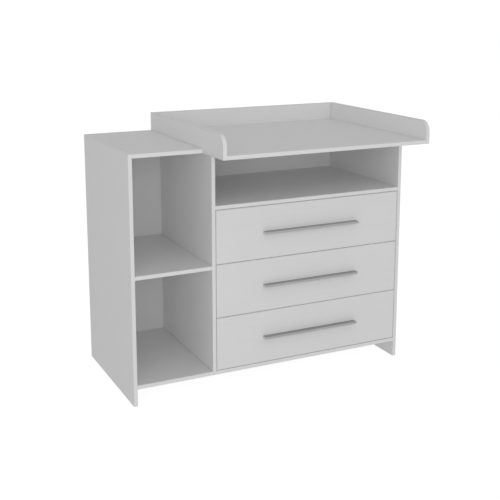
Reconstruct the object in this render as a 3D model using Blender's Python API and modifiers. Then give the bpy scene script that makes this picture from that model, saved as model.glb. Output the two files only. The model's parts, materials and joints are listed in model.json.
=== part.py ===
"""Changing table: an open shelf column beside three drawers, under a raised-edge changing tray.

Metres, +Z up, the front faces -Y. The origin is the middle of the whole footprint, on the floor.
"""

import math

import bmesh
import bpy
from mathutils import Matrix, Vector

# Cabinet
BOARD = 0.015
WIDTH = 1.176
DEPTH = 0.560
COLUMN_WIDTH = 0.308
SURFACE_HEIGHT = 0.959
FLOOR_CLEARANCE = 0.067
COLUMN_SHELF_HEIGHT = 0.491
NICHE_SHELF_HEIGHT = 0.7233
HARDBOARD = 0.003
BACK_INSET = 0.011
GROOVE_DEPTH = 0.005
TOP_RAIL_WIDTH = 0.060
TOP_RAIL_SETBACK = 0.005
CLEAT_SETBACK = 0.080

# Changing tray
TRAY_OVERHANG = 0.181
TRAY_OVER_COLUMN = 0.0335
TRAY_WALL = 0.090
TRAY_CORNER_RADIUS = 0.043
TRAY_SEAM = 0.001

# Drawers
DRAWER_NAMES = ("bottom_drawer", "middle_drawer", "top_drawer")
FRONT_GAP = 0.002
BOX_BOARD = 0.012
BOX_HEIGHT = 0.150
BOX_LENGTH = 0.500
BOX_GROOVE = 0.006
BOX_BOTTOM_RISE = 0.010
HANDLE_LENGTH = 0.420
HANDLE_DEPTH = 0.024
HANDLE_HEIGHT = 0.0085
HANDLE_WALL = 0.002

# Roller runners, in the space between a drawer's side and the panel beside it
RUNNER_SPACE = 0.0125
RUNNER_LENGTH = 0.500
RUNNER_RISE = 0.018
RUNNER_SETBACK = 0.018
STEEL = 0.0012
CHANNEL_HEIGHT = 0.024
CHANNEL_LOWER_LIP = 0.0102
CHANNEL_UPPER_LIP = 0.0070
DRAWER_RAIL_TOP = 0.0255
DRAWER_RAIL_BASE = 0.0007
DRAWER_RAIL_INNER_LIP = 0.0220
DRAWER_RAIL_OUTER_LIP = 0.0030
ROLLER_RADIUS = 0.010
ROLLER_WIDTH = 0.0072
ROLLER_INSET = 0.012
ROLLER_CHAMFER = 0.0008
PIN_RADIUS = 0.003
PIN_HEAD_RADIUS = 0.0045
PIN_HEAD_THICKNESS = 0.0007
NOTCH_LENGTH = 0.026

# Foot under the centre panel
FOOT_RADIUS = 0.022
FOOT_FLANGE_RADIUS = 0.030
FOOT_FLANGE = 0.004
FOOT_SETBACK = 0.300

# Finish
GAP = 0.0003
BOARD_EDGE = 0.0006
METAL_EDGE = 0.0005
ROUND_STEPS = 24
CORNER_STEPS = 16

# Places that follow from the sizes above
LEFT = -WIDTH / 2
RIGHT = WIDTH / 2
TRAY_FRONT = -(DEPTH + TRAY_OVERHANG) / 2
FRONT = TRAY_FRONT + TRAY_OVERHANG
BACK = FRONT + DEPTH
CENTRE_LEFT = LEFT + BOARD + COLUMN_WIDTH
CENTRE_RIGHT = CENTRE_LEFT + BOARD
RIGHT_INNER = RIGHT - BOARD
DECK = FLOOR_CLEARANCE + BOARD
TRAY_BOTTOM = SURFACE_HEIGHT - BOARD
TRAY_TOP = TRAY_BOTTOM + TRAY_WALL
TRAY_LEFT = CENTRE_LEFT - TRAY_OVER_COLUMN
PANEL_TOP = TRAY_BOTTOM - GAP
BACK_PANEL_FRONT = BACK - BACK_INSET - HARDBOARD
SHELF_BACK = BACK_PANEL_FRONT - GAP
FRONT_HEIGHT = (NICHE_SHELF_HEIGHT - DECK - 4 * FRONT_GAP) / 3
BOX_LEFT = CENTRE_RIGHT + RUNNER_SPACE
BOX_RIGHT = RIGHT_INNER - RUNNER_SPACE
BOX_FRONT = FRONT + BOARD + GAP
BOX_BACK = FRONT + BOARD + BOX_LENGTH
RUNNER_FRONT = FRONT + RUNNER_SETBACK
RUNNER_BACK = RUNNER_FRONT + RUNNER_LENGTH
WEB_OUTER = RUNNER_SPACE - GAP - STEEL
WEB_INNER = RUNNER_SPACE - GAP


def clear_scene():
    for obj in list(bpy.data.objects):
        bpy.data.objects.remove(obj, do_unlink=True)


def new_collection(name):
    collection = bpy.data.collections.new(name)
    bpy.context.scene.collection.children.link(collection)
    return collection


def principled(name, colour, roughness, metallic=0.0):
    material = bpy.data.materials.new(name)
    material.use_nodes = True
    shader = material.node_tree.nodes["Principled BSDF"]
    shader.inputs["Base Color"].default_value = (*colour, 1.0)
    shader.inputs["Roughness"].default_value = roughness
    shader.inputs["Metallic"].default_value = metallic
    return material


clear_scene()
PARTS = new_collection("changing_table")
CUTTERS = new_collection("cutters")
MELAMINE = principled("melamine_board", (0.86, 0.86, 0.86), 0.45)
HARDBOARD_FINISH = principled("painted_hardboard", (0.86, 0.86, 0.86), 0.60)
HANDLE_METAL = principled("anodised_aluminium", (0.50, 0.50, 0.50), 0.35, 0.9)
RUNNER_STEEL = principled("coated_steel", (0.72, 0.72, 0.72), 0.40, 0.2)
ROLLER_NYLON = principled("roller_nylon", (0.74, 0.74, 0.72), 0.50)
FOOT_PLASTIC = principled("foot_plastic", (0.30, 0.30, 0.30), 0.55)


def add_part(name, mesh, material, location, parent=None):
    """Puts a mesh in the model at a world location, carried by a parent empty if it has one."""
    part = bpy.data.objects.new(name, mesh)
    part.location = Vector(location) - (parent.location if parent else Vector())
    part.parent = parent
    mesh.materials.append(material)
    PARTS.objects.link(part)
    return part


def hide_as_cutter(obj):
    obj.hide_render = True
    obj.display_type = "WIRE"
    CUTTERS.objects.link(obj)


def box_mesh(name, size):
    mesh = bpy.data.meshes.new(name)
    bm = bmesh.new()
    bmesh.ops.create_cube(bm, size=1.0, matrix=Matrix.Diagonal((*size, 1.0)))
    bm.to_mesh(mesh)
    bm.free()
    return mesh


def round_edges(obj, width, segments=1):
    bevel = obj.modifiers.new("rounded edges", "BEVEL")
    bevel.width = width
    bevel.segments = segments
    bevel.limit_method = "ANGLE"
    bevel.angle_limit = math.radians(30)


def join_boolean(obj, other, operation):
    modifier = obj.modifiers.new(operation.lower(), "BOOLEAN")
    modifier.operation = operation
    modifier.solver = "EXACT"
    modifier.object = other


def middle_and_size(x, y, z):
    spans = (x, y, z)
    middle = [(low + high) / 2 for low, high in spans]
    size = [high - low for low, high in spans]
    return middle, size


def board(name, x, y, z, material=MELAMINE, parent=None):
    """A flat board between two planes on each axis, with its sharp edges broken."""
    middle, size = middle_and_size(x, y, z)
    part = add_part(name, box_mesh(name, size), material, middle, parent)
    round_edges(part, BOARD_EDGE)
    return part


def box_cutter(name, x, y, z, parent=None):
    middle, size = middle_and_size(x, y, z)
    cutter = bpy.data.objects.new(name, box_mesh(name, size))
    cutter.location = Vector(middle) - (parent.location if parent else Vector())
    cutter.parent = parent
    hide_as_cutter(cutter)
    return cutter


def groove_for(name, x, y, z, boards, parent=None):
    """Cuts a running groove for a thin panel into each board that holds it."""
    spans = [(low - GAP, high + GAP) for low, high in (x, y, z)]
    cutter = box_cutter(f"{name}_groove", *spans, parent=parent)
    for held_by in boards:
        join_boolean(held_by, cutter, "DIFFERENCE")


def thin_panel(name, x, y, z, boards, parent=None):
    """A hardboard panel let into grooves in its neighbours."""
    middle, size = middle_and_size(x, y, z)
    panel = add_part(name, box_mesh(name, size), HARDBOARD_FINISH, middle, parent)
    groove_for(name, x, y, z, boards, parent)
    return panel


def extruded(name, outline, thickness, rotation):
    """A flat outline made solid, as a mesh centred on the outline's plane."""
    curve = bpy.data.curves.new(name, "CURVE")
    curve.dimensions = "2D"
    curve.fill_mode = "BOTH"
    curve.extrude = thickness / 2
    spline = curve.splines.new("POLY")
    spline.points.add(len(outline) - 1)
    for point, (u, v) in zip(spline.points, outline):
        point.co = (u, v, 0, 1)
    spline.use_cyclic_u = True
    source = bpy.data.objects.new(name, curve)
    PARTS.objects.link(source)
    graph = bpy.context.evaluated_depsgraph_get()
    mesh = bpy.data.meshes.new_from_object(source.evaluated_get(graph))
    bpy.data.objects.remove(source, do_unlink=True)
    bm = bmesh.new()
    bm.from_mesh(mesh)
    bmesh.ops.remove_doubles(bm, verts=bm.verts, dist=0.00001)
    bmesh.ops.transform(bm, matrix=rotation, verts=bm.verts)
    bmesh.ops.recalc_face_normals(bm, faces=bm.faces)
    bm.to_mesh(mesh)
    bm.free()
    mesh.materials.clear()
    return mesh


def turned_mesh(name, profile, closed=False):
    """The profile's points and edges, in the XZ plane, ready for a Screw modifier."""
    mesh = bpy.data.meshes.new(name)
    bm = bmesh.new()
    points = [bm.verts.new((radius, 0, height)) for radius, height in profile]
    pairs = list(zip(points, points[1:]))
    if closed:
        pairs.append((points[-1], points[0]))
    for pair in pairs:
        bm.edges.new(pair)
    bm.to_mesh(mesh)
    bm.free()
    return mesh


def turn(obj):
    screw = obj.modifiers.new("turned", "SCREW")
    screw.axis = "Z"
    screw.angle = math.tau
    screw.steps = ROUND_STEPS
    screw.render_steps = ROUND_STEPS
    screw.use_merge_vertices = True
    screw.merge_threshold = 0.00005
    screw.use_smooth_shade = True


# Axes of an outline drawn as (Y, Z) and made solid along X, and as (X, Z) made solid along Y
ALONG_X = Matrix(((0, 0, 1, 0), (1, 0, 0, 0), (0, 1, 0, 0), (0, 0, 0, 1)))
ALONG_Y = Matrix.Rotation(math.radians(90), 4, "X")


def cabinet_boards():
    """The carcass: panels, deck, shelves, rails, cleat and the two grooved back panels."""
    between_left = (LEFT + BOARD + GAP, CENTRE_LEFT - GAP)
    between_right = (CENTRE_RIGHT + GAP, RIGHT_INNER - GAP)
    full_depth = (FRONT, BACK)
    shelf_depth = (FRONT, SHELF_BACK)
    rail_height = (PANEL_TOP - BOARD, PANEL_TOP)

    left = board("left_side_panel", (LEFT, LEFT + BOARD), full_depth, (0, SURFACE_HEIGHT))
    right = board("right_side_panel", (RIGHT_INNER, RIGHT), full_depth, (0, PANEL_TOP))
    centre = board("centre_panel", (CENTRE_LEFT, CENTRE_RIGHT), full_depth, (DECK + GAP, PANEL_TOP))
    deck = board("bottom_board", (LEFT + BOARD + GAP, RIGHT_INNER - GAP), full_depth, (FLOOR_CLEARANCE, DECK))

    shelf_top = COLUMN_SHELF_HEIGHT + BOARD
    board("left_shelf", between_left, shelf_depth, (COLUMN_SHELF_HEIGHT, shelf_top))
    niche_top = NICHE_SHELF_HEIGHT + BOARD
    board("niche_shelf", between_right, shelf_depth, (NICHE_SHELF_HEIGHT, niche_top))
    top_span = (LEFT + BOARD + GAP, TRAY_LEFT - TRAY_SEAM)
    board("left_top_board", top_span, full_depth, (TRAY_BOTTOM, SURFACE_HEIGHT))

    rail_front = FRONT + TOP_RAIL_SETBACK
    board("front_top_rail", between_right, (rail_front, rail_front + TOP_RAIL_WIDTH), rail_height)
    board("back_top_rail", between_right, (SHELF_BACK - TOP_RAIL_WIDTH, SHELF_BACK), rail_height)
    cleat_span = (CENTRE_LEFT - GAP - TOP_RAIL_WIDTH, CENTRE_LEFT - GAP)
    board("top_board_cleat", cleat_span, (FRONT + CLEAT_SETBACK, SHELF_BACK - CLEAT_SETBACK), rail_height)

    back_depth = (BACK_PANEL_FRONT, BACK_PANEL_FRONT + HARDBOARD)
    back_height = (DECK - GROOVE_DEPTH, PANEL_TOP)
    left_back_span = (LEFT + BOARD - GROOVE_DEPTH, CENTRE_LEFT + GROOVE_DEPTH)
    thin_panel("left_back_panel", left_back_span, back_depth, back_height, (left, centre, deck))
    right_back_span = (CENTRE_RIGHT - GROOVE_DEPTH, RIGHT_INNER + GROOVE_DEPTH)
    thin_panel("right_back_panel", right_back_span, back_depth, back_height, (centre, right, deck))


def centre_foot():
    """A turned plastic foot that carries the middle of the bottom board."""
    top = FLOOR_CLEARANCE - GAP
    profile = [
        (0, top),
        (FOOT_FLANGE_RADIUS, top),
        (FOOT_FLANGE_RADIUS, top - FOOT_FLANGE),
        (FOOT_RADIUS, top - 2 * FOOT_FLANGE),
        (FOOT_RADIUS, FOOT_FLANGE),
        (FOOT_RADIUS + FOOT_FLANGE, FOOT_FLANGE / 2),
        (FOOT_RADIUS + FOOT_FLANGE, 0),
        (0, 0),
    ]
    mesh = turned_mesh("centre_foot", profile)
    middle = (CENTRE_LEFT + CENTRE_RIGHT) / 2
    turn(add_part("centre_foot", mesh, FOOT_PLASTIC, (middle, FRONT + FOOT_SETBACK, 0)))


def tray_side_outline():
    """The side's (Y, Z) outline, square but for the rounded top front corner."""
    corner_y = TRAY_FRONT + TRAY_CORNER_RADIUS
    corner_z = TRAY_TOP - TRAY_CORNER_RADIUS
    outline = [(BACK, TRAY_TOP), (BACK, TRAY_BOTTOM), (TRAY_FRONT, TRAY_BOTTOM)]
    for step in range(CORNER_STEPS + 1):
        angle = math.pi - step / CORNER_STEPS * math.pi / 2
        y = corner_y + TRAY_CORNER_RADIUS * math.cos(angle)
        z = corner_z + TRAY_CORNER_RADIUS * math.sin(angle)
        outline.append((y, z))
    return outline


def tray():
    """The changing surface with a wall on both sides and at the back, open towards the front."""
    for name, x in (("tray_left_side", TRAY_LEFT), ("tray_right_side", RIGHT_INNER)):
        mesh = extruded(name, tray_side_outline(), BOARD, ALONG_X)
        side = add_part(name, mesh, MELAMINE, (x + BOARD / 2, 0, 0))
        round_edges(side, BOARD_EDGE)
    between_sides = (TRAY_LEFT + BOARD + GAP, RIGHT_INNER - GAP)
    base_depth = (TRAY_FRONT, BACK - BOARD - GAP)
    board("tray_base", between_sides, base_depth, (TRAY_BOTTOM, SURFACE_HEIGHT))
    board("tray_back_strip", between_sides, (BACK - BOARD, BACK), (TRAY_BOTTOM, TRAY_TOP))


def handle(name, front_middle_z, parent):
    """A pull with a full top, open underneath, so that fingers hook behind its lip from below."""
    middle_x = (CENTRE_RIGHT + RIGHT_INNER) / 2
    rear = FRONT - GAP
    x = (middle_x - HANDLE_LENGTH / 2, middle_x + HANDLE_LENGTH / 2)
    y = (rear - HANDLE_DEPTH, rear)
    z = (front_middle_z - HANDLE_HEIGHT / 2, front_middle_z + HANDLE_HEIGHT / 2)
    middle, size = middle_and_size(x, y, z)
    pull = add_part(name, box_mesh(name, size), HANDLE_METAL, middle, parent)
    round_edges(pull, METAL_EDGE, 2)
    pocket = [(low + HANDLE_WALL, high - HANDLE_WALL) for low, high in (x, y)]
    pocket_z = (z[0] - HANDLE_WALL, z[1] - HANDLE_WALL)
    join_boolean(pull, box_cutter(f"{name}_pocket", *pocket, pocket_z, parent=parent), "DIFFERENCE")


def drawer_box(name, front_bottom, parent):
    """The front, two sides, back and let-in bottom of one drawer."""
    floor = front_bottom + RUNNER_RISE + DRAWER_RAIL_BASE + STEEL + GAP
    height = (floor, floor + BOX_HEIGHT)
    length = (BOX_FRONT, BOX_BACK)
    panel_floor = floor + BOX_BOTTOM_RISE
    panel_top = panel_floor + HARDBOARD
    front_span = (CENTRE_RIGHT + FRONT_GAP, RIGHT_INNER - FRONT_GAP)
    front_height = (front_bottom, front_bottom + FRONT_HEIGHT)
    front = board(f"{name}_front", front_span, (FRONT, FRONT + BOARD), front_height, parent=parent)
    left_span = (BOX_LEFT, BOX_LEFT + BOX_BOARD)
    left = board(f"{name}_left_side", left_span, length, height, parent=parent)
    right_span = (BOX_RIGHT - BOX_BOARD, BOX_RIGHT)
    right = board(f"{name}_right_side", right_span, length, height, parent=parent)
    back_span = (BOX_LEFT + BOX_BOARD + GAP, BOX_RIGHT - BOX_BOARD - GAP)
    back_height = (panel_top + GAP, height[1])
    board(f"{name}_back", back_span, (BOX_BACK - BOX_BOARD, BOX_BACK), back_height, parent=parent)
    bottom_span = (BOX_LEFT + BOX_GROOVE, BOX_RIGHT - BOX_GROOVE)
    bottom_length = (FRONT + BOARD - BOX_GROOVE, BOX_BACK)
    bottom_height = (panel_floor, panel_top)
    holders = (front, left, right)
    thin_panel(f"{name}_bottom", bottom_span, bottom_length, bottom_height, holders, parent)


def rivet(name, reach, side, location, parent):
    """A headed pin along X, from inside a rail's web out past the roller it carries."""
    profile = [
        (0, reach),
        (PIN_HEAD_RADIUS, reach),
        (PIN_HEAD_RADIUS, reach - PIN_HEAD_THICKNESS),
        (PIN_RADIUS, reach - PIN_HEAD_THICKNESS),
        (PIN_RADIUS, 0),
        (0, 0),
    ]
    pin = bpy.data.objects.new(name, turned_mesh(name, profile))
    turn(pin)
    pin.rotation_euler.y = side * math.radians(90)
    pin.location = Vector(location) - (parent.location if parent else Vector())
    pin.parent = parent
    hide_as_cutter(pin)
    return pin


def roller(name, location, parent):
    """A plain wheel on its pin, its axis along X through its origin."""
    half = ROLLER_WIDTH / 2
    bore = PIN_RADIUS + GAP
    rim = ROLLER_RADIUS - ROLLER_CHAMFER
    profile = [
        (rim, half),
        (ROLLER_RADIUS, half - ROLLER_CHAMFER),
        (ROLLER_RADIUS, ROLLER_CHAMFER - half),
        (rim, -half),
        (bore, -half),
        (bore, half),
    ]
    wheel = add_part(name, turned_mesh(name, profile, closed=True), ROLLER_NYLON, location, parent)
    wheel.rotation_euler.y = math.radians(90)
    turn(wheel)


def across(wall, side, distance):
    """The X that lies this far from a panel's inner face, into the drawer space."""
    return wall + side * distance


def cabinet_rail(name, roller_name, wall, side, base):
    """The C channel on the panel, with the front roller that carries the drawer's rail."""
    web = GAP + STEEL
    outline = [
        (GAP, 0),
        (CHANNEL_LOWER_LIP, 0),
        (CHANNEL_LOWER_LIP, STEEL),
        (web, STEEL),
        (web, CHANNEL_HEIGHT - STEEL),
        (CHANNEL_UPPER_LIP, CHANNEL_HEIGHT - STEEL),
        (CHANNEL_UPPER_LIP, CHANNEL_HEIGHT),
        (GAP, CHANNEL_HEIGHT),
    ]
    mirrored = [(side * u, v) for u, v in outline]
    middle_y = (RUNNER_FRONT + RUNNER_BACK) / 2
    mesh = extruded(name, mirrored, RUNNER_LENGTH, ALONG_Y)
    rail = add_part(name, mesh, RUNNER_STEEL, (wall, middle_y, base))

    notch_ends = [across(wall, side, u) for u in (web, CHANNEL_UPPER_LIP + STEEL)]
    notch_y = (RUNNER_FRONT - STEEL, RUNNER_FRONT + NOTCH_LENGTH)
    notch_z = (base + CHANNEL_HEIGHT - 2 * STEEL, base + CHANNEL_HEIGHT + STEEL)
    notch = box_cutter(f"{name}_notch", (min(notch_ends), max(notch_ends)), notch_y, notch_z)
    join_boolean(rail, notch, "DIFFERENCE")

    axle_y = RUNNER_FRONT + ROLLER_INSET
    axle_z = base + DRAWER_RAIL_TOP - STEEL - GAP - ROLLER_RADIUS
    pin_root = across(wall, side, web - STEEL / 2)
    pin_reach = WEB_OUTER - web + STEEL / 2 - 2 * GAP
    pin = rivet(f"{name}_pin", pin_reach, side, (pin_root, axle_y, axle_z), None)
    join_boolean(rail, pin, "UNION")
    wheel_x = across(wall, side, web + 3 * GAP + ROLLER_WIDTH / 2)
    roller(roller_name, (wheel_x, axle_y, axle_z), None)


def drawer_rail(name, roller_name, wall, side, base, parent):
    """The Z rail under the drawer's side, with the rear roller that runs in the channel."""
    outline = [
        (WEB_INNER, DRAWER_RAIL_TOP),
        (DRAWER_RAIL_OUTER_LIP, DRAWER_RAIL_TOP),
        (DRAWER_RAIL_OUTER_LIP, DRAWER_RAIL_TOP - STEEL),
        (WEB_OUTER, DRAWER_RAIL_TOP - STEEL),
        (WEB_OUTER, DRAWER_RAIL_BASE),
        (DRAWER_RAIL_INNER_LIP, DRAWER_RAIL_BASE),
        (DRAWER_RAIL_INNER_LIP, DRAWER_RAIL_BASE + STEEL),
        (WEB_INNER, DRAWER_RAIL_BASE + STEEL),
    ]
    mirrored = [(side * u, v) for u, v in outline]
    middle_y = (RUNNER_FRONT + RUNNER_BACK) / 2
    mesh = extruded(name, mirrored, RUNNER_LENGTH, ALONG_Y)
    rail = add_part(name, mesh, RUNNER_STEEL, (wall, middle_y, base), parent)

    axle_y = RUNNER_BACK - ROLLER_INSET
    axle_z = base + STEEL + GAP + ROLLER_RADIUS
    pin_root = across(wall, side, WEB_OUTER + STEEL / 2)
    pin_reach = WEB_OUTER - GAP - STEEL + STEEL / 2 - 2 * GAP
    pin = rivet(f"{name}_pin", pin_reach, -side, (pin_root, axle_y, axle_z), parent)
    join_boolean(rail, pin, "UNION")
    wheel_x = across(wall, side, WEB_OUTER - 3 * GAP - ROLLER_WIDTH / 2)
    roller(roller_name, (wheel_x, axle_y, axle_z), parent)


def drawer(name, front_bottom):
    """One drawer on its slide: box, pull and a pair of roller runners."""
    carrier = bpy.data.objects.new(f"{name}_slide", None)
    carrier.location = ((CENTRE_RIGHT + RIGHT_INNER) / 2, FRONT, front_bottom)
    PARTS.objects.link(carrier)
    drawer_box(name, front_bottom, carrier)
    handle(f"{name}_handle", front_bottom + FRONT_HEIGHT / 2, carrier)
    base = front_bottom + RUNNER_RISE
    for hand, wall, side in (("left", CENTRE_RIGHT, 1), ("right", RIGHT_INNER, -1)):
        prefix = f"{name}_{hand}"
        cabinet_rail(f"{prefix}_cabinet_rail", f"{prefix}_front_roller", wall, side, base)
        drawer_rail(f"{prefix}_drawer_rail", f"{prefix}_rear_roller", wall, side, base, carrier)


def main():
    cabinet_boards()
    centre_foot()
    tray()
    for index, name in enumerate(DRAWER_NAMES):
        drawer(name, DECK + FRONT_GAP + index * (FRONT_HEIGHT + FRONT_GAP))


main()
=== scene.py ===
"""Looks of the changing table: studio, camera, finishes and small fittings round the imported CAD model.

Metres, +Z up, the front faces -Y. Every CAD node keeps its shape and gets a procedural finish. The
fittings that flat-pack furniture shows when its drawers are open (screws, cam locks, caps) are pieces.
"""

import json
import math

import bmesh
import bpy
from mathutils import Matrix, Vector


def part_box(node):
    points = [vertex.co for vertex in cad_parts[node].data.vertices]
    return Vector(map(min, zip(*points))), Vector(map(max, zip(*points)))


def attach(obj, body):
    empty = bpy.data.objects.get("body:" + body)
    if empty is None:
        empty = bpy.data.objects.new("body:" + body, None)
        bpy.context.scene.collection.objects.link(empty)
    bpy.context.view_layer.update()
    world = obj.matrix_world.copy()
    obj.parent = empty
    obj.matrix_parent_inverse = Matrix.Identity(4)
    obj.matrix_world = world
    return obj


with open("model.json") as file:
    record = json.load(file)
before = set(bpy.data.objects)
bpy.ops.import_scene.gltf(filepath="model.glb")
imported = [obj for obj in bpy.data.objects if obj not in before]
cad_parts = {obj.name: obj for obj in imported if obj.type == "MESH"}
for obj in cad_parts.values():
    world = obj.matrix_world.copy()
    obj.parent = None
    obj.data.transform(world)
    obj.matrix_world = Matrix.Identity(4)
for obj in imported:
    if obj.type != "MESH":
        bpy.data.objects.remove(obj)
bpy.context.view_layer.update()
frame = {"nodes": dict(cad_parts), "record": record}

# Camera
CAMERA_PLACE = (-1.5997, -3.2640, 1.5019)
CAMERA_YAW = math.radians(25.914)
CAMERA_PITCH = math.radians(11.178)
CAMERA_LENS_MM = 66.06
CAMERA_SENSOR_MM = 36.0
CAMERA_SHIFT_UP = -0.14

# Studio: three wide soft lamps at a distance from the middle of the object. LAMPS holds each one's name,
# azimuth and elevation in degrees, and power in watts.
FLOOR_SIZE = 60.0
FLOOR_DROP = 0.0005
FLOOR_SEEN_GLOW = 0.84
FLOOR_CAST_GLOW = 0.314
WORLD_LIGHT = 0.519
BACKDROP_LIGHT = 1.05
LAMP_TARGET = (0.0, 0.0, 0.5)
LAMP_DISTANCE = 6.0
LAMP_SIZE = 3.0
LAMPS = (("key", -30.0, 8.0, 59.5), ("fill", 0.0, 8.0, 17.7), ("high_fill", 0.0, 30.0, 8.4))

# The range that a noise's values usually keep to
NOISE_LOW = 0.3
NOISE_HIGH = 0.7

# Board finish: mean reflectance of faces and edge bands (the bands' paler tone is partly their own and
# partly painted highlight along the edges), how far the print strays from it, and the hairline where a face
# meets the band round its rim
BOARD_TONE = 0.86
BAND_TONE_WITH_HIGHLIGHT = 0.885
BOARD_FIGURE = 0.010
BAND_THICKNESS = 0.0012
SEAM_WIDTH = 0.0004
ROUNDED_SIDES = ("tray_left_side", "tray_right_side")
TRAY_CORNER_RADIUS = 0.043

# The bodies that fittings ride on
DRAWERS = ("bottom_drawer", "middle_drawer", "top_drawer")
CABINET = "cabinet"

# How every mesh of a fitting is made: steps round a turned shape, how deep it sits below its face, the angle
# from which an edge is sharp, and how near two corners are to count as one
SCREW_STEPS = 32
EMBED = 0.0015
SHARP_ANGLE = math.radians(35)
TURNED_WELD_REACH = 0.000005
WELD_REACH = 0.000001

# Radius and head height of each fitting
HANDLE_SCREW = (0.0042, 0.0026)
RAIL_SCREW = (0.0028, 0.0004)
PANEL_SCREW = (0.0036, 0.0020)
CAM_RADIUS = 0.0075
COVER_CAP = (0.0085, 0.0011)

# Where the fittings stand. The CAD model's runner steel is 1.2 mm, and its parts stand 0.3 mm apart.
HANDLE_SCREW_SPACING = 0.320
CAM_SETBACK = 0.026
CAM_RISES = (0.045, 0.115)
RUNNER_STEEL = 0.0012
PART_GAP = 0.0003
CABINET_RAIL_SCREWS = (0.050, 0.250, 0.450)
CABINET_RAIL_SCREW_RISE = 0.012
DRAWER_RAIL_SCREWS = (0.030, 0.240, 0.440)
DRAWER_RAIL_SCREW_RISE = 0.0045
BACK_SCREW_INSET = 0.035
CAP_INSET = 0.034
BOARD_CAP_FROM_FRONT = 0.060
BOARD_CAP_FROM_BACK = 0.080
TRAY_CAP_DEPTHS = {"left": (0.080,), "right": (0.080, 0.330, 0.560)}


# ---------------------------------------------------------------- node helpers


def new_material(name):
    material = bpy.data.materials.new(name)
    material.use_nodes = True
    tree = material.node_tree
    return material, tree, tree.nodes["Principled BSDF"]


def add_node(tree, kind, **settings):
    node = tree.nodes.new(kind)
    for key, value in settings.items():
        setattr(node, key, value)
    return node


def math_node(tree, operation, *operands):
    """A Math node. Each operand is a socket or a number."""
    node = add_node(tree, "ShaderNodeMath", operation=operation)
    for slot, operand in enumerate(operands):
        if isinstance(operand, (int, float)):
            node.inputs[slot].default_value = operand
        else:
            tree.links.new(operand, node.inputs[slot])
    return node.outputs["Value"]


def noise(tree, coordinates, scales, detail=2.0, roughness=0.5):
    """Noise whose cells are 1/scale metres long on each axis."""
    mapping = add_node(tree, "ShaderNodeMapping")
    mapping.inputs["Scale"].default_value = scales
    texture = add_node(tree, "ShaderNodeTexNoise")
    texture.inputs["Scale"].default_value = 1.0
    texture.inputs["Detail"].default_value = detail
    texture.inputs["Roughness"].default_value = roughness
    tree.links.new(coordinates, mapping.inputs["Vector"])
    tree.links.new(mapping.outputs["Vector"], texture.inputs["Vector"])
    return texture.outputs["Fac"]


def blend_of(tree, parts):
    """Adds noises as departures from one half: 0.5 + sum of weight * (noise - 0.5)."""
    total = None
    for socket, weight in parts:
        part = math_node(tree, "MULTIPLY", socket, weight)
        total = part if total is None else math_node(tree, "ADD", total, part)
    offset = 0.5 - 0.5 * sum(weight for _, weight in parts)
    return math_node(tree, "ADD", total, offset)


def ramp(tree, value, dark, light):
    node = add_node(tree, "ShaderNodeValToRGB")
    stops = node.color_ramp.elements
    stops[0].position = NOISE_LOW
    stops[1].position = NOISE_HIGH
    stops[0].color = (*dark, 1.0)
    stops[1].color = (*light, 1.0)
    tree.links.new(value, node.inputs["Fac"])
    return node.outputs["Color"]


def spread(tree, value, low, high):
    """Maps a noise's usual range onto low..high."""
    node = add_node(tree, "ShaderNodeMapRange")
    node.inputs["From Min"].default_value = NOISE_LOW
    node.inputs["From Max"].default_value = NOISE_HIGH
    node.inputs["To Min"].default_value = low
    node.inputs["To Max"].default_value = high
    tree.links.new(value, node.inputs["Value"])
    return node.outputs["Result"]


def mix_colour(tree, factor, first, second):
    node = add_node(tree, "ShaderNodeMix", data_type="RGBA")
    tree.links.new(factor, node.inputs["Factor"])
    tree.links.new(first, node.inputs["A"])
    tree.links.new(second, node.inputs["B"])
    return node.outputs["Result"]


def bump(tree, height, distance, strength):
    node = add_node(tree, "ShaderNodeBump")
    node.inputs["Strength"].default_value = strength
    node.inputs["Distance"].default_value = distance
    tree.links.new(height, node.inputs["Height"])
    return node.outputs["Normal"]


def grey(value):
    return (value, value, value)


def along(axis, on_axis, across):
    """Noise scales with one value along an axis and another across it."""
    return tuple(on_axis if index == axis else across for index in range(3))


def axis_share(tree, coordinates, axis):
    """How squarely a face looks along an axis: 1 on the board's faces, 0 on its edges."""
    parts = add_node(tree, "ShaderNodeSeparateXYZ")
    tree.links.new(coordinates.outputs["Normal"], parts.inputs["Vector"])
    return math_node(tree, "ABSOLUTE", parts.outputs[axis])


# ---------------------------------------------------------------- finishes


def board_axes(node):
    """A board's thinnest and longest axes, from its own box."""
    low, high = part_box(node)
    size = high - low
    order = sorted(range(3), key=lambda index: size[index])
    return order[0], order[2]


def rim_distance(tree, spot, low, high, thin):
    """How far a point on a board's face lies from the nearest edge of the face."""
    place = add_node(tree, "ShaderNodeSeparateXYZ")
    tree.links.new(spot, place.inputs["Vector"])
    nearest = None
    for axis in range(3):
        if axis == thin:
            continue
        middle = (low[axis] + high[axis]) / 2
        offset = math_node(tree, "ABSOLUTE", math_node(tree, "SUBTRACT", place.outputs[axis], middle))
        distance = math_node(tree, "SUBTRACT", (high[axis] - low[axis]) / 2, offset)
        nearest = distance if nearest is None else math_node(tree, "MINIMUM", nearest, distance)
    return nearest


def corner_distance(tree, spot, low, high, radius):
    """The same for the front, the top and the rounded corner between them, on a side of the tray."""
    place = add_node(tree, "ShaderNodeSeparateXYZ")
    tree.links.new(spot, place.inputs["Vector"])
    to_front = math_node(tree, "SUBTRACT", place.outputs["Y"], low.y)
    to_top = math_node(tree, "SUBTRACT", high.z, place.outputs["Z"])
    squares = []
    for distance in (to_front, to_top):
        past_centre = math_node(tree, "MAXIMUM", math_node(tree, "SUBTRACT", radius, distance), 0.0)
        squares.append(math_node(tree, "MULTIPLY", past_centre, past_centre))
    reach = math_node(tree, "SQRT", math_node(tree, "ADD", *squares))
    return math_node(tree, "SUBTRACT", radius, reach)


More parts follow.
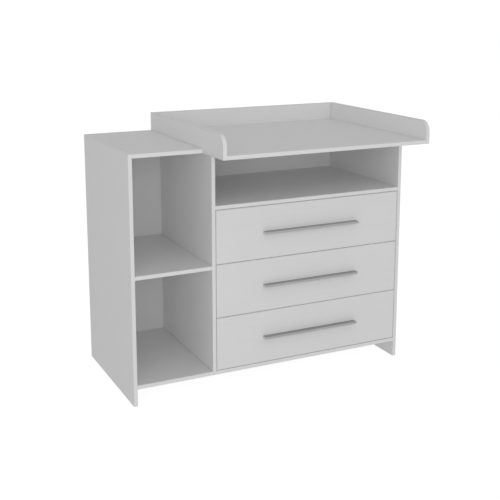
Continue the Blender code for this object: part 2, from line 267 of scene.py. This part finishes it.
def board_finish(node):
    """White melamine: soft print streaks along the grain, fine pores, a paler band round the rim, partly the
    edge band's own tone and partly painted highlight.
    """
    low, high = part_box(node)
    thin, grain = board_axes(node)
    material, tree, shader = new_material(f"melamine_{node}")
    place = add_node(tree, "ShaderNodeTexCoord")
    spot = place.outputs["Object"]
    streaks = noise(tree, spot, along(grain, 3.0, 110.0), detail=3.0)
    pores = noise(tree, spot, along(grain, 160.0, 900.0), detail=1.0)
    cloud = noise(tree, spot, (7.0, 7.0, 7.0), detail=3.0)
    face_tone = blend_of(tree, ((streaks, 0.7), (pores, 0.3), (cloud, 0.5)))
    face = ramp(tree, face_tone, grey(BOARD_TONE - BOARD_FIGURE), grey(BOARD_TONE + BOARD_FIGURE))
    band_tone = blend_of(tree, ((pores, 0.5), (cloud, 0.5)))
    # edge band colour: the band's own paler tone raised a little further as a painted highlight along the
    # board's edges
    band_and_highlight = ramp(tree, band_tone, grey(BAND_TONE_WITH_HIGHLIGHT - BOARD_FIGURE), grey(BAND_TONE_WITH_HIGHLIGHT + BOARD_FIGURE))
    glue = ramp(tree, pores, grey(0.34), grey(0.44))

    distance = rim_distance(tree, spot, low, high, thin)
    if node in ROUNDED_SIDES:
        corner = corner_distance(tree, spot, low, high, TRAY_CORNER_RADIUS)
        distance = math_node(tree, "MINIMUM", distance, corner)
    on_face = math_node(tree, "GREATER_THAN", axis_share(tree, place, thin), 0.9)
    inside_band = math_node(tree, "GREATER_THAN", distance, BAND_THICKNESS)
    on_print = math_node(tree, "MULTIPLY", on_face, inside_band)
    at_seam = math_node(tree, "COMPARE", distance, BAND_THICKNESS, SEAM_WIDTH / 2)
    on_seam = math_node(tree, "MULTIPLY", on_face, at_seam)
    board = mix_colour(tree, on_print, band_and_highlight, face)
    tree.links.new(mix_colour(tree, on_seam, board, glue), shader.inputs["Base Color"])

    tree.links.new(spread(tree, cloud, 0.40, 0.50), shader.inputs["Roughness"])
    relief = blend_of(tree, ((streaks, 0.5), (pores, 0.8)))
    tree.links.new(bump(tree, relief, 0.00012, 0.35), shader.inputs["Normal"])
    shader.inputs["Specular IOR Level"].default_value = 0.35
    return material


def hardboard_finish(name, inner_axis, inner_sign):
    """Thin hardboard: painted white on the side that shows, raw pressed fibre on the other."""
    material, tree, shader = new_material(name)
    place = add_node(tree, "ShaderNodeTexCoord")
    spot = place.outputs["Object"]
    cloud = noise(tree, spot, (6.0, 6.0, 6.0), detail=3.0)
    fibre = noise(tree, spot, (420.0, 300.0, 420.0), detail=4.0, roughness=0.7)
    flecks = noise(tree, spot, (90.0, 90.0, 90.0), detail=2.0, roughness=0.6)
    paint_tone = blend_of(tree, ((cloud, 0.6), (fibre, 0.3)))
    paint = ramp(tree, paint_tone, grey(BOARD_TONE - BOARD_FIGURE), grey(BOARD_TONE + BOARD_FIGURE))
    raw_tone = blend_of(tree, ((fibre, 0.9), (flecks, 0.5), (cloud, 0.2)))
    raw = ramp(tree, raw_tone, (0.375, 0.305, 0.230), (0.450, 0.375, 0.292))
    parts = add_node(tree, "ShaderNodeSeparateXYZ")
    tree.links.new(place.outputs["Normal"], parts.inputs["Vector"])
    facing = math_node(tree, "MULTIPLY", parts.outputs[inner_axis], inner_sign)
    on_paint = math_node(tree, "GREATER_THAN", facing, 0.5)
    tree.links.new(mix_colour(tree, on_paint, raw, paint), shader.inputs["Base Color"])
    tree.links.new(spread(tree, fibre, 0.50, 0.62), shader.inputs["Roughness"])
    tree.links.new(bump(tree, raw_tone, 0.00020, 0.30), shader.inputs["Normal"])
    shader.inputs["Specular IOR Level"].default_value = 0.30
    return material


def handle_finish():
    """Anodised aluminium, brushed along the bar. The flat top is painted a shade darker than the lip:
    painted shade standing in for the darker reflection it catches.
    """
    material, tree, shader = new_material("brushed_handle_metal")
    place = add_node(tree, "ShaderNodeTexCoord")
    spot = place.outputs["Object"]
    brush = noise(tree, spot, (14.0, 2600.0, 2600.0), detail=2.0, roughness=0.6)
    cloud = noise(tree, spot, (18.0, 60.0, 60.0), detail=2.0)
    tone = blend_of(tree, ((brush, 0.8), (cloud, 0.4)))
    lip = ramp(tree, tone, grey(0.62), grey(0.70))
    # painted shade: faces looking up get a darker copy of the metal's tone, standing in for the dim
    # reflection on the top
    top = ramp(tree, tone, grey(0.38), grey(0.44))
    painted_dark_top_mask = math_node(tree, "GREATER_THAN", axis_share(tree, place, 2), 0.8)
    tree.links.new(mix_colour(tree, painted_dark_top_mask, lip, top), shader.inputs["Base Color"])
    tree.links.new(spread(tree, brush, 0.38, 0.50), shader.inputs["Roughness"])
    tree.links.new(bump(tree, brush, 0.00003, 0.40), shader.inputs["Normal"])
    shader.inputs["Metallic"].default_value = 1.0
    return material


def runner_finish():
    """Roll-formed steel under an off-white epoxy coat with a slight orange peel."""
    material, tree, shader = new_material("epoxy_coated_runner")
    spot = add_node(tree, "ShaderNodeTexCoord").outputs["Object"]
    peel = noise(tree, spot, (700.0, 700.0, 700.0), detail=1.0)
    cloud = noise(tree, spot, (30.0, 8.0, 30.0), detail=3.0)
    tone = blend_of(tree, ((cloud, 0.7), (peel, 0.3)))
    tree.links.new(ramp(tree, tone, grey(0.68), grey(0.74)), shader.inputs["Base Color"])
    tree.links.new(spread(tree, cloud, 0.30, 0.42), shader.inputs["Roughness"])
    tree.links.new(bump(tree, peel, 0.00006, 0.40), shader.inputs["Normal"])
    shader.inputs["Metallic"].default_value = 0.15
    return material


def nylon_finish():
    """Moulded off-white nylon with faint flow marks."""
    material, tree, shader = new_material("moulded_nylon")
    spot = add_node(tree, "ShaderNodeTexCoord").outputs["Object"]
    flow = noise(tree, spot, (120.0, 260.0, 260.0), detail=3.0)
    dust = noise(tree, spot, (900.0, 900.0, 900.0), detail=1.0)
    tone = blend_of(tree, ((flow, 0.7), (dust, 0.3)))
    colour = ramp(tree, tone, (0.70, 0.70, 0.68), (0.78, 0.78, 0.76))
    tree.links.new(colour, shader.inputs["Base Color"])
    tree.links.new(spread(tree, flow, 0.38, 0.50), shader.inputs["Roughness"])
    tree.links.new(bump(tree, dust, 0.00004, 0.30), shader.inputs["Normal"])
    shader.inputs["Subsurface Weight"].default_value = 0.08
    shader.inputs["Subsurface Radius"].default_value = (0.002, 0.002, 0.002)
    return material


def plastic_finish(name, dark, light, grain):
    """Moulded plastic with a fine spark-eroded grain."""
    material, tree, shader = new_material(name)
    spot = add_node(tree, "ShaderNodeTexCoord").outputs["Object"]
    pebble = noise(tree, spot, (grain, grain, grain), detail=2.0)
    cloud = noise(tree, spot, (40.0, 40.0, 40.0), detail=2.0)
    tone = blend_of(tree, ((pebble, 0.5), (cloud, 0.5)))
    tree.links.new(ramp(tree, tone, dark, light), shader.inputs["Base Color"])
    tree.links.new(spread(tree, pebble, 0.45, 0.60), shader.inputs["Roughness"])
    tree.links.new(bump(tree, pebble, 0.00008, 0.50), shader.inputs["Normal"])
    return material


def zinc_finish(name, dark, light, grain):
    """Zinc on screws and cam locks: a little mottled, never mirror bright."""
    material, tree, shader = new_material(name)
    spot = add_node(tree, "ShaderNodeTexCoord").outputs["Object"]
    mottle = noise(tree, spot, (grain, grain, grain), detail=3.0, roughness=0.6)
    fine = noise(tree, spot, (4000.0, 4000.0, 4000.0), detail=1.0)
    tone = blend_of(tree, ((mottle, 0.8), (fine, 0.4)))
    tree.links.new(ramp(tree, tone, dark, light), shader.inputs["Base Color"])
    tree.links.new(spread(tree, mottle, 0.28, 0.45), shader.inputs["Roughness"])
    tree.links.new(bump(tree, fine, 0.00002, 0.40), shader.inputs["Normal"])
    shader.inputs["Metallic"].default_value = 1.0
    return material


def floor_finish():
    """A plain pale floor that glows a little, so that it reads as white paper with a faint shadow.

    It shows the camera more glow than it casts on the furniture.
    """
    material, tree, shader = new_material("studio_paper")
    spot = add_node(tree, "ShaderNodeTexCoord").outputs["Object"]
    fibre = noise(tree, spot, (40.0, 40.0, 40.0), detail=2.0)
    tree.links.new(ramp(tree, fibre, grey(0.34), grey(0.36)), shader.inputs["Base Color"])
    shader.inputs["Roughness"].default_value = 0.9
    shader.inputs["Specular IOR Level"].default_value = 0.0
    shader.inputs["Emission Color"].default_value = (1.0, 1.0, 1.0, 1.0)
    path = add_node(tree, "ShaderNodeLightPath")
    glow = add_node(tree, "ShaderNodeMapRange")
    glow.inputs["To Min"].default_value = FLOOR_CAST_GLOW
    glow.inputs["To Max"].default_value = FLOOR_SEEN_GLOW
    tree.links.new(path.outputs["Is Camera Ray"], glow.inputs["Value"])
    tree.links.new(glow.outputs["Result"], shader.inputs["Emission Strength"])
    return material


# ---------------------------------------------------------------- finishes on CAD nodes


def finish_nodes():
    """Gives every CAD node the finish of its material slot in the record."""
    shared = {
        "handle_metal": handle_finish(),
        "runner_steel": runner_finish(),
        "roller_nylon": nylon_finish(),
        "foot_plastic": plastic_finish("foot_plastic_finish", grey(0.22), grey(0.27), 900.0),
    }
    hardboards = {}
    for row in frame["record"]["subparts"]:
        node = row["node"]
        kind = row["material_slot"]
        if kind == "melamine_board":
            material = board_finish(node)
        elif kind == "hardboard":
            thin, _ = board_axes(node)
            if thin not in hardboards:
                inner_sign = -1.0 if thin == 1 else 1.0
                hardboards[thin] = hardboard_finish(f"hardboard_{'xyz'[thin]}_face", thin, inner_sign)
            material = hardboards[thin]
        else:
            material = shared[kind]
        for holder in frame["nodes"][node].material_slots:
            holder.material = material


# ---------------------------------------------------------------- fitting shapes


def turned(profile):
    """A mesh turned about Z from (radius, height) points, closed at both ends on the axis."""
    bm = bmesh.new()
    points = [bm.verts.new((radius, 0.0, height)) for radius, height in profile]
    edges = [bm.edges.new(pair) for pair in zip(points, points[1:])]
    bmesh.ops.spin(
        bm,
        geom=points + edges,
        cent=(0, 0, 0),
        axis=(0, 0, 1),
        angle=math.tau,
        steps=SCREW_STEPS,
        use_merge=True,
    )
    bmesh.ops.remove_doubles(bm, verts=bm.verts, dist=TURNED_WELD_REACH)
    bmesh.ops.recalc_face_normals(bm, faces=bm.faces)
    return bm


def mesh_from(bm, name):
    mesh = bpy.data.meshes.new(name)
    for face in bm.faces:
        face.smooth = True
    bm.to_mesh(mesh)
    bm.free()
    mesh.set_sharp_from_angle(angle=SHARP_ANGLE)
    return mesh


def cross_cutter(reach, width, top, depth, taper=0.6):
    """A cross with sides that taper inwards, for a screwdriver recess."""
    bm = bmesh.new()
    for length, breadth in ((reach, width), (width, reach)):
        cube = bmesh.ops.create_cube(bm, size=2.0)["verts"]
        for vert in cube:
            share = 1.0 if vert.co.z > 0 else taper
            height = top if vert.co.z > 0 else top - depth
            vert.co = Vector((vert.co.x * length * share, vert.co.y * breadth * share, height))
    return bm


def weld(mesh):
    """Merges the coincident corners that a boolean leaves, with the collapsed faces between them."""
    bm = bmesh.new()
    bm.from_mesh(mesh)
    bmesh.ops.remove_doubles(bm, verts=bm.verts, dist=WELD_REACH)
    bmesh.ops.dissolve_degenerate(bm, edges=bm.edges, dist=WELD_REACH)
    bm.to_mesh(mesh)
    bm.free()


def carved(name, bm, cutter_bm):
    """The turned shape with the cutter's shape taken out of it."""
    scene = bpy.context.scene.collection
    body = bpy.data.objects.new(f"{name}_body", mesh_from(bm, f"{name}_body"))
    cutter = bpy.data.objects.new(f"{name}_cutter", mesh_from(cutter_bm, f"{name}_cutter"))
    for obj in (body, cutter):
        scene.objects.link(obj)
    cut = body.modifiers.new("recess", "BOOLEAN")
    cut.operation = "DIFFERENCE"
    cut.solver = "EXACT"
    cut.use_self = True
    cut.object = cutter
    graph = bpy.context.evaluated_depsgraph_get()
    mesh = bpy.data.meshes.new_from_object(body.evaluated_get(graph))
    mesh.name = name
    mesh.materials.clear()
    weld(mesh)
    mesh.set_sharp_from_angle(angle=SHARP_ANGLE)
    for obj in (body, cutter):
        bpy.data.objects.remove(obj, do_unlink=True)
    return mesh


def pan_screw(name, radius, height):
    """A domed head with a cross recess, its seat at Z = 0."""
    profile = [
        (0.0, height),
        (radius * 0.45, height * 0.96),
        (radius * 0.75, height * 0.80),
        (radius * 0.94, height * 0.50),
        (radius, height * 0.22),
        (radius, 0.0),
        (radius * 0.45, 0.0),
        (radius * 0.45, -EMBED),
        (0.0, -EMBED),
    ]
    recess = cross_cutter(radius * 0.56, radius * 0.13, height * 1.3, height * 1.0)
    return carved(name, turned(profile), recess)


def cam_lock(name, radius):
    """A cast cam lock seated in its bore: a thin rim, a dished face and a cross slot."""
    profile = [
        (0.0, 0.0001),
        (radius * 0.72, 0.0001),
        (radius * 0.78, 0.0004),
        (radius * 0.95, 0.0004),
        (radius, 0.0002),
        (radius, -EMBED),
        (0.0, -EMBED),
    ]
    recess = cross_cutter(radius * 0.52, radius * 0.12, 0.0008, 0.0018)
    return carved(name, turned(profile), recess)


def cover_cap(name, radius, height):
    """A plastic cap pushed over a cam lock: a low dome with a thin skirt line."""
    profile = [
        (0.0, height),
        (radius * 0.60, height * 0.97),
        (radius * 0.86, height * 0.80),
        (radius * 0.97, height * 0.45),
        (radius, height * 0.15),
        (radius, 0.0),
        (radius * 0.8, -EMBED),
        (0.0, -EMBED),
    ]
    return mesh_from(turned(profile), name)


# ---------------------------------------------------------------- placing fittings


def place_fitting(name, mesh, material, body, place, outward):
    """Seats a fitting on a face, its head looking along outward, and lets it ride on a body."""
    if not mesh.materials:
        mesh.materials.append(material)
    piece = bpy.data.objects.new(name, mesh)
    bpy.context.scene.collection.objects.link(piece)
    turn = Vector(outward).to_track_quat("Z", "Y").to_matrix().to_4x4()
    piece.matrix_world = Matrix.Translation(Vector(place)) @ turn
    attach(piece, body)
    return piece


class Fittings:
    """The shared meshes and finishes of the screws, cam locks and caps."""

    def __init__(self):
        self.screw_finish = zinc_finish("zinc_plated_screw", grey(0.50), grey(0.66), 1200.0)
        self.cam_finish = zinc_finish("cast_zinc_cam", grey(0.40), grey(0.52), 500.0)
        self.cap_finish = plastic_finish("cover_cap_plastic", grey(0.74), grey(0.80), 1500.0)
        self.handle_screw = pan_screw("handle_screw_head", *HANDLE_SCREW)
        self.rail_screw = pan_screw("rail_screw_head", *RAIL_SCREW)
        self.panel_screw = pan_screw("panel_screw_head", *PANEL_SCREW)
        self.cam = cam_lock("cam_lock", CAM_RADIUS)
        self.cap = cover_cap("cover_cap", *COVER_CAP)

    def screw(self, name, mesh, body, place, outward):
        place_fitting(name, mesh, self.screw_finish, body, place, outward)

    def cam_at(self, name, body, place, outward):
        place_fitting(name, self.cam, self.cam_finish, body, place, outward)

    def cap_at(self, name, body, place, outward):
        place_fitting(name, self.cap, self.cap_finish, body, place, outward)


def handle_screws(fittings, drawer):
    """Two screws through the front into the handle, seen inside the drawer."""
    low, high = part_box(f"{drawer}_handle")
    _, front_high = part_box(f"{drawer}_front")
    middle = (low + high) / 2
    for number, side in enumerate((-1, 1), start=1):
        x = middle.x + side * HANDLE_SCREW_SPACING / 2
        place = (x, front_high.y, middle.z)
        fittings.screw(f"{drawer}_handle_screw_{number}", fittings.handle_screw, drawer, place, (0, 1, 0))


def drawer_cams(fittings, drawer):
    """Two cam locks on the inner face of each side, which draw the front tight."""
    for hand, inward in (("left", 1), ("right", -1)):
        low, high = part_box(f"{drawer}_{hand}_side")
        x = high.x if inward > 0 else low.x
        for number, rise in enumerate(CAM_RISES, start=1):
            place = (x, low.y + CAM_SETBACK, low.z + rise)
            fittings.cam_at(f"{drawer}_{hand}_cam_{number}", drawer, place, (inward, 0, 0))


def rail_screws(fittings, drawer):
    """Screws that hold each runner half to its board, so low that the rollers' pins pass over them."""
    for hand, inward in (("left", 1), ("right", -1)):
        rail = f"{drawer}_{hand}_cabinet_rail"
        low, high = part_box(rail)
        x = low.x + RUNNER_STEEL if inward > 0 else high.x - RUNNER_STEEL
        for number, along_rail in enumerate(CABINET_RAIL_SCREWS, start=1):
            place = (x, low.y + along_rail, low.z + CABINET_RAIL_SCREW_RISE)
            name = f"{rail}_screw_{number}"
            fittings.screw(name, fittings.rail_screw, CABINET, place, (inward, 0, 0))
        rail = f"{drawer}_{hand}_drawer_rail"
        side_low, side_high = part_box(f"{drawer}_{hand}_side")
        low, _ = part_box(rail)
        stand_off = PART_GAP + RUNNER_STEEL
        x = side_low.x - stand_off if inward > 0 else side_high.x + stand_off
        for number, along_rail in enumerate(DRAWER_RAIL_SCREWS, start=1):
            place = (x, low.y + along_rail, low.z + DRAWER_RAIL_SCREW_RISE)
            name = f"{rail}_screw_{number}"
            fittings.screw(name, fittings.rail_screw, drawer, place, (-inward, 0, 0))


def back_panel_screws(fittings):
    """Screws through the back panels into the boards that they brace."""
    rows = (
        ("left_back_panel", "left_shelf", 3),
        ("right_back_panel", "niche_shelf", 5),
        ("right_back_panel", "back_top_rail", 5),
    )
    for panel, held, count in rows:
        _, panel_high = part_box(panel)
        low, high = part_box(held)
        step = (high.x - low.x - 2 * BACK_SCREW_INSET) / (count - 1)
        for number in range(count):
            x = low.x + BACK_SCREW_INSET + number * step
            place = (x, panel_high.y, (low.z + high.z) / 2)
            name = f"{held}_back_screw_{number + 1}"
            fittings.screw(name, fittings.panel_screw, CABINET, place, (0, 1, 0))


def board_caps(fittings):
    """Cover caps on the undersides, over the cam locks that join boards to panels."""
    for board, ends in (("left_shelf", (-1, 1)), ("left_top_board", (-1,)), ("bottom_board", (-1, 1))):
        low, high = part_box(board)
        for end in ends:
            x = low.x + CAP_INSET if end < 0 else high.x - CAP_INSET
            hand = "left" if end < 0 else "right"
            depths = (low.y + BOARD_CAP_FROM_FRONT, high.y - BOARD_CAP_FROM_BACK)
            for number, y in enumerate(depths, start=1):
                name = f"{board}_{hand}_cap_{number}"
                fittings.cap_at(name, CABINET, (x, y, low.z), (0, 0, -1))


def tray_caps(fittings):
    """Cover caps under the changing surface, along the walls it is joined to."""
    low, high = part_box("tray_base")
    for hand, x in (("left", low.x + CAP_INSET), ("right", high.x - CAP_INSET)):
        for number, depth in enumerate(TRAY_CAP_DEPTHS[hand], start=1):
            name = f"tray_base_{hand}_cap_{number}"
            fittings.cap_at(name, CABINET, (x, low.y + depth, low.z), (0, 0, -1))


def add_fittings():
    fittings = Fittings()
    for drawer in DRAWERS:
        handle_screws(fittings, drawer)
        drawer_cams(fittings, drawer)
        rail_screws(fittings, drawer)
    back_panel_screws(fittings)
    board_caps(fittings)
    tray_caps(fittings)


# ---------------------------------------------------------------- studio


def make_camera():
    data = bpy.data.cameras.new("camera")
    data.sensor_width = CAMERA_SENSOR_MM
    data.lens = CAMERA_LENS_MM
    data.shift_y = CAMERA_SHIFT_UP
    data.clip_end = 100.0
    camera = bpy.data.objects.new("camera", data)
    camera.location = CAMERA_PLACE
    camera.rotation_euler = (math.pi / 2 - CAMERA_PITCH, 0.0, -CAMERA_YAW)
    bpy.context.scene.collection.objects.link(camera)
    bpy.context.scene.camera = camera


def make_floor():
    bm = bmesh.new()
    bmesh.ops.create_grid(bm, x_segments=1, y_segments=1, size=FLOOR_SIZE / 2)
    mesh = bpy.data.meshes.new("floor")
    bm.to_mesh(mesh)
    bm.free()
    mesh.materials.append(floor_finish())
    floor = bpy.data.objects.new("floor", mesh)
    floor.location.z = -FLOOR_DROP
    bpy.context.scene.collection.objects.link(floor)


def make_lamp(name, azimuth, elevation, power):
    """A square soft lamp. Its azimuth is 0 in front (-Y) and grows towards +X."""
    turn, rise = math.radians(azimuth), math.radians(elevation)
    level = math.cos(rise)
    away = Vector((math.sin(turn) * level, -math.cos(turn) * level, math.sin(rise)))
    data = bpy.data.lights.new(name, "AREA")
    data.shape = "SQUARE"
    data.size = LAMP_SIZE
    data.energy = power
    lamp = bpy.data.objects.new(name, data)
    lamp.location = Vector(LAMP_TARGET) + LAMP_DISTANCE * away
    lamp.rotation_euler = away.to_track_quat("Z", "Y").to_euler()
    bpy.context.scene.collection.objects.link(lamp)


def make_world():
    """Even studio light from all round, in front of a plain white backdrop."""
    world = bpy.data.worlds.new("studio")
    world.use_nodes = True
    tree = world.node_tree
    lit = tree.nodes["Background"]
    lit.inputs["Color"].default_value = (1.0, 1.0, 1.0, 1.0)
    lit.inputs["Strength"].default_value = WORLD_LIGHT
    seen = add_node(tree, "ShaderNodeBackground")
    seen.inputs["Color"].default_value = (1.0, 1.0, 1.0, 1.0)
    seen.inputs["Strength"].default_value = BACKDROP_LIGHT
    path = add_node(tree, "ShaderNodeLightPath")
    choice = add_node(tree, "ShaderNodeMixShader")
    tree.links.new(path.outputs["Is Camera Ray"], choice.inputs["Fac"])
    tree.links.new(lit.outputs["Background"], choice.inputs[1])
    tree.links.new(seen.outputs["Background"], choice.inputs[2])
    tree.links.new(choice.outputs["Shader"], tree.nodes["World Output"].inputs["Surface"])
    bpy.context.scene.world = world


def set_colour_management():
    settings = bpy.context.scene.view_settings
    settings.view_transform = "Standard"
    settings.look = "None"
    settings.exposure = 0.0
    settings.gamma = 1.0


make_camera()
make_floor()
for lamp in LAMPS:
    make_lamp(*lamp)
make_world()
set_colour_management()
finish_nodes()
add_fittings()
